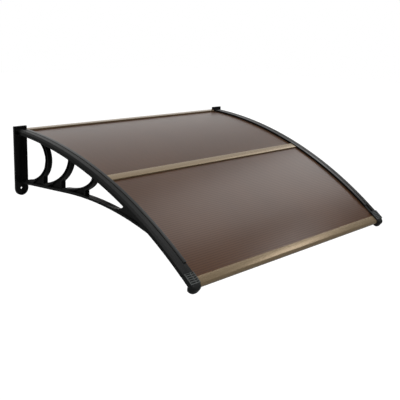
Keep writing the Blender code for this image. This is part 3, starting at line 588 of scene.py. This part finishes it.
def shoulder_group():
    """A modifier group that widens the rail's outer shoulder, where |x| is in SHOULDER_X.

    The rise of a point is its distance from the arc's centre less the radius. A point
    between the two lower limits of SHOULDER_RISE sinks towards the centre, and one between
    the two upper limits moves inwards along X, so the small chamfer becomes a broad one.
    """
    group, start, end = modifier_group("wide_shoulder")

    def add(kind, operation, *values, output=0):
        """A node with its operation and its inputs in turn; the result is one output."""
        node = group.nodes.new(kind)
        if operation:
            node.operation = operation
        for socket, value in zip(node.inputs, values):
            if isinstance(value, bpy.types.NodeSocket):
                group.links.new(value, socket)
            else:
                socket.default_value = value
        return node.outputs[output]

    def number(operation, *values):
        """A Math node's result."""
        return add("ShaderNodeMath", operation, *values)

    def vector(operation, *values, output=0):
        """One of a Vector Math node's results."""
        return add("ShaderNodeVectorMath", operation, *values, output=output)

    def between(value, low, high):
        """1 where the value is between the limits, else 0."""
        above, below = number("GREATER_THAN", value, low), number("LESS_THAN", value, high)
        return number("MULTIPLY", above, below)

    lowest, middle, highest = SHOULDER_RISE
    place = add("GeometryNodeInputPosition", None)
    radial = vector("MULTIPLY", vector("ADD", place, FROM_CENTRE), (0.0, 1.0, 1.0))
    rise = number("SUBTRACT", vector("LENGTH", radial, output=1), ARC_RADIUS)
    x = add("ShaderNodeSeparateXYZ", None, place)
    outer = between(number("ABSOLUTE", x), *SHOULDER_X)
    low = number("MULTIPLY", outer, between(rise, lowest, middle))
    high = number("MULTIPLY", outer, between(rise, middle, highest))
    inward = number("MULTIPLY", high, -SHOULDER_IN)
    sideways = number("MULTIPLY", inward, number("SIGN", x))
    down = vector("SCALE", vector("NORMALIZE", radial))
    group.links.new(number("MULTIPLY", low, -SHOULDER_DROP), down.node.inputs["Scale"])
    move = vector("ADD", down, add("ShaderNodeCombineXYZ", None, sideways, 0.0, 0.0))
    shift = group.nodes.new("GeometryNodeSetPosition")
    group.links.new(start.outputs[0], shift.inputs["Geometry"])
    group.links.new(move, shift.inputs["Offset"])
    group.links.new(shift.outputs[0], end.inputs[0])
    return group


shoulder = shoulder_group()


def soften(node, width, finish, widened=False):
    """Weld, smooth and bevel a CAD node, and give it its material.

    The bevel isn't clamped, since the shortest edge would shrink it everywhere.
    """
    weld = node.modifiers.new("weld", "WELD")
    weld.merge_threshold = WELD_REACH
    if widened:
        node.modifiers.new("shoulder", "NODES").node_group = shoulder
    shade = node.modifiers.new("smooth", "NODES")
    shade.node_group = smoothing
    bevel = node.modifiers.new("bevel", "BEVEL")
    bevel.width = width
    bevel.segments = 2
    bevel.limit_method = "ANGLE"
    bevel.angle_limit = SHARP
    bevel.harden_normals = True
    bevel.use_clamp_overlap = False
    for place in range(len(node.data.materials)):
        node.data.materials[place] = finish


for side in ("left", "right"):
    soften(nodes[f"{side}_bracket"], MOULDED_EDGE, plastic, widened=True)
    soften(nodes[f"{side}_end_cap"], MOULDED_EDGE, cap_plastic)
for name, node in nodes.items():
    if "screw" in name:
        soften(node, SCREW_EDGE, zinc)
    elif "gasket" in name or "seal" in name:
        soften(node, RUBBER_EDGE, rubber)
print("softened:", sum(1 for node in nodes.values() if node.modifiers))

# %% [markdown]
# Long parts are profiles carried along a path. A profile is a closed line of corners, and
# real extrusions have a small radius at each, so `rounded` swaps every corner for a curve
# of a few points, all corners at once.

# %% Profiles and paths
SHORTEST_SIDE_SHARE = 0.45


def rounded(corners, radius, steps=3):
    """Each corner becomes a short curve from radius before it to radius after it.

    With t from 0 to 1: (1-t)^2 before + 2t(1-t) corner + t^2 after. The radius shrinks
    where a side is short, to a share of that side.
    """
    corners = np.asarray(corners, float)
    before = np.roll(corners, 1, axis=0) - corners
    after = np.roll(corners, -1, axis=0) - corners
    length_before = np.linalg.norm(before, axis=1, keepdims=True)
    length_after = np.linalg.norm(after, axis=1, keepdims=True)
    shorter = np.minimum(length_before, length_after)
    reach = np.minimum(radius, SHORTEST_SIDE_SHARE * shorter)
    start = corners + before / length_before * reach
    end = corners + after / length_after * reach
    t = np.linspace(0, 1, steps + 1)[None, :, None]
    ends = (1 - t) ** 2 * start[:, None] + t**2 * end[:, None]
    return (ends + 2 * t * (1 - t) * corners[:, None]).reshape(-1, 2)


def carried(name, rings):
    """A closed solid over rings of equally many points, with a face at each end."""
    stations, size = rings.shape[:2]
    ends = [list(range(size)), list(range((stations - 1) * size, stations * size))]
    made = object_of(name, rings, quads_over(stations, size, closed=True) + ends)
    outward(made.data)
    return made


def outward(mesh):
    """Turn all faces outwards and shade them smooth, with hard edges over SHARP."""
    work = bmesh.new()
    work.from_mesh(mesh)
    bmesh.ops.recalc_face_normals(work, faces=work.faces)
    work.to_mesh(mesh)
    work.free()
    mesh.shade_smooth()
    mesh.set_sharp_from_angle(angle=SHARP)


def straight(name, outline, x_first, x_last, stations=2):
    """An outline of reach and height, carried straight along X."""
    x = np.linspace(x_first, x_last, stations)[:, None]
    rings = np.stack(np.broadcast_arrays(x, -outline[None, :, 0], outline[None, :, 1]), -1)
    return carried(name, rings)


def across(name, outline, x_first, x_last, stations=2):
    """An outline of run and rise, carried straight along X."""
    return straight(name, np.stack(roof(*outline.T), -1), x_first, x_last, stations)


def along(name, section, first, last, spacing=0.004):
    """A section of x and rise, carried along the roof's arc."""
    runs = np.linspace(first, last, int((last - first) / spacing) + 2)[:, None]
    reach, height = roof(runs, section[None, :, 1])
    rings = np.stack((np.broadcast_to(section[None, :, 0], reach.shape), -reach, height), -1)
    return carried(name, rings)


def stands_for(piece, finish, slot, *replaced):
    """The piece rides on the canopy, wears a finish and takes the place of CAD nodes."""
    piece.data.materials.append(finish)
    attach(piece, "root")
    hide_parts(*replaced)
    print(piece.name, len(piece.data.polygons), "faces")


# %% [markdown]
# Each sheet is one curved slab. Along the run, its top skin follows the flutes: it sinks
# a few hundredths of a millimetre between the walls. That is enough to break up the
# light into the fine lines that such sheets have.

# %% The two sheets
SHEET_THICK = 0.005
SINK = 0.00006
STEPS_PER_FLUTE = 8


def sheet(name):
    """Top rise = -sink sin^2(pi (run - start) / pitch); the bottom mirrors it.

    The UV map holds x and the run from the sheet's rear edge, in metres.
    """
    low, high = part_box(name)
    first, last = run_of(name, 1)[0], run_of(name, 0)[0]
    pitch = (last - first) / FLUTES
    runs = np.linspace(first, last, FLUTES * STEPS_PER_FLUTE + 1)
    dip = SINK * np.sin(math.pi * (runs - first) / pitch) ** 2
    top = np.stack((runs, -dip), -1)
    bottom = np.stack((runs[::-1], -SHEET_THICK + dip[::-1]), -1)
    outline = np.concatenate((top, bottom))
    piece = across(name + "_skin", outline, low.x, high.x, stations=3)
    co = np.empty(len(piece.data.vertices) * 3)
    piece.data.vertices.foreach_get("co", co)
    x, y, z = co.reshape(-1, 3).T
    v = run_and_rise(y, z)[0] - first
    corner = np.empty(len(piece.data.loops), int)
    piece.data.loops.foreach_get("vertex_index", corner)
    uv = piece.data.uv_layers.new(name="run")
    uv.data.foreach_set("uv", np.stack((x[corner], v[corner]), -1).ravel())
    stands_for(piece, tinted_sheet(pitch), "brown_sheet", name)


sheet("rear_sheet")
sheet("front_sheet")

# %% [markdown]
# The three bars are extrusions: a profile in run and rise, straight along X. The centre bar
# is an H with a flat crown, which is cut down where the cover strips cross it. The front
# bar has a flat flange, a rounded nose and a drip lip. The rear bar has a sloping top and,
# in its flat back, a groove for the rubber seal.

# %% The aluminium bars
GAP = 0.0003
FLANGE = 0.0015
LOWER = 0.0010
BAR_TOP = GAP + FLANGE
BAR_BOTTOM = -SHEET_THICK - GAP - LOWER
CENTRE_RUN = 0.4358
CENTRE_HALF = 0.01375
CENTRE_WEB = 0.00125
CROWN_HALF = 0.01295
CROWN_TOP = 0.0046
CROWN_END = 0.4541
STEP = 0.0001
CENTRE_EDGE = 0.0005
BAR_EDGE = 0.0003


def centre_outline(crown):
    """The H profile's outline, with its crown as high as asked."""
    corners = [
        (CENTRE_HALF, BAR_BOTTOM),
        (CENTRE_HALF, -SHEET_THICK - GAP),
        (CENTRE_WEB, -SHEET_THICK - GAP),
        (CENTRE_WEB, GAP),
        (CENTRE_HALF, GAP),
        (CENTRE_HALF, BAR_TOP),
        (CROWN_HALF, BAR_TOP),
        (CROWN_HALF, crown),
    ]
    mirrored = [(-run, rise) for run, rise in reversed(corners)]
    return rounded(np.array(corners + mirrored) + (CENTRE_RUN, 0.0), CENTRE_EDGE)


low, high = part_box("centre_bar")
rings = []
for x, crown in (
    (low.x, BAR_TOP + STEP),
    (-CROWN_END - STEP, BAR_TOP + STEP),
    (-CROWN_END, CROWN_TOP),
    (CROWN_END, CROWN_TOP),
    (CROWN_END + STEP, BAR_TOP + STEP),
    (high.x, BAR_TOP + STEP),
):
    reach, height = roof(*centre_outline(crown).T)
    rings.append(np.stack((np.full_like(reach, x), -reach, height), -1))
centre = carried("centre_profile", np.stack(rings))
stands_for(centre, champagne, "champagne_aluminium", "centre_bar")

FRONT_RUN = 0.8465
FRONT_END = 0.8745
FRONT_SLOT = 0.8665
FRONT_LOWER_RUN = FRONT_RUN + 0.003
FRONT_NOSE = 0.0090
NOSE_POINTS = 12
DRIP = 0.0030
nose_start = FRONT_END - FRONT_NOSE
turn_angle = np.linspace(0, math.pi / 2, NOSE_POINTS + 1)[1:]
nose_curve = np.stack(
    (
        nose_start + FRONT_NOSE * np.sin(turn_angle),
        BAR_TOP + (BAR_BOTTOM - BAR_TOP) * (1 - np.cos(turn_angle)),
    ),
    -1,
)
corners = np.concatenate(
    (
        [
            (FRONT_LOWER_RUN, BAR_BOTTOM),
            (FRONT_LOWER_RUN, -SHEET_THICK - GAP),
            (FRONT_SLOT, -SHEET_THICK - GAP),
            (FRONT_SLOT, GAP),
            (FRONT_RUN, GAP),
            (FRONT_RUN, BAR_TOP),
            (nose_start, BAR_TOP),
        ],
        nose_curve,
        [
            (FRONT_END, BAR_BOTTOM - DRIP),
            (FRONT_END - FLANGE, BAR_BOTTOM - DRIP),
            (FRONT_END - FLANGE, BAR_BOTTOM),
        ],
    )
)
low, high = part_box("front_bar")
front = across("front_profile", rounded(corners, BAR_EDGE), low.x, high.x)
stands_for(front, champagne, "champagne_aluminium", "front_bar")

REAR_RUN = 0.0140
REAR_WEB = 0.0040
REAR_CREST = 0.0030
REAR_TOP = 0.0074
REAR_EDGE = 0.0052
SEAL_LOW, SEAL_HIGH, SEAL_DEPTH = 0.0018, 0.0044, 0.0012
grip = np.array(
    [
        (0.0, BAR_BOTTOM),
        (REAR_RUN, BAR_BOTTOM),
        (REAR_RUN, -SHEET_THICK - GAP),
        (REAR_WEB, -SHEET_THICK - GAP),
        (REAR_WEB, GAP),
        (REAR_RUN, GAP),
        (REAR_RUN, REAR_EDGE),
    ]
)
back = [
    (REAR_CREST, REAR_TOP),
    (0.0, REAR_TOP),
    (0.0, SEAL_HIGH),
    (SEAL_DEPTH, SEAL_HIGH),
    (SEAL_DEPTH, SEAL_LOW),
    (0.0, SEAL_LOW),
]
corners = np.concatenate((np.stack(roof(*grip.T), -1), back))
corners[:, 0] = np.maximum(corners[:, 0], 0.0)
low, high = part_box("rear_bar")
rear = straight("rear_profile", rounded(corners, BAR_EDGE), low.x, high.x)
stands_for(rear, bright_champagne, "champagne_aluminium", "rear_bar")

# %% [markdown]
# The cover strips are the inner half of each beam. They are mouldings that bend with the
# roof, so their section is carried along the arc in short steps. A small step along their
# outer edge makes the joint with the rail show as a thin dark groove.

# %% The cover strips
RAIL_RISE = 0.0072
COVER_IN = 0.4547
COVER_OUT = 0.4687
COVER_START = 0.0095
COVER_END = 0.7997
LEDGE_TOP = -0.0066
LIP_BOTTOM = BAR_TOP + GAP
LIP_THICK = 0.0024
WALL_THICK = 0.0085
STRIP_EDGE = 0.0007
JOINT_WIDTH = 0.0021
JOINT_DEPTH = 0.0022
section = np.array(
    [
        (COVER_IN, LIP_BOTTOM),
        (COVER_IN + LIP_THICK, LIP_BOTTOM),
        (COVER_IN + LIP_THICK, RAIL_RISE - LIP_THICK),
        (COVER_OUT - WALL_THICK, RAIL_RISE - LIP_THICK),
        (COVER_OUT - WALL_THICK, LEDGE_TOP + GAP),
        (COVER_OUT, LEDGE_TOP + GAP),
        (COVER_OUT, RAIL_RISE - JOINT_DEPTH),
        (COVER_OUT - JOINT_WIDTH, RAIL_RISE - JOINT_DEPTH),
        (COVER_OUT - JOINT_WIDTH, RAIL_RISE),
        (COVER_IN, RAIL_RISE),
    ]
)
for side, sign in (("left", -1.0), ("right", 1.0)):
    shape = rounded(section * (sign, 1.0), STRIP_EDGE)
    strip = along(f"{side}_cover_moulding", shape, COVER_START, COVER_END)
    stands_for(strip, strip_plastic, "black_plastic", f"{side}_cover_strip")
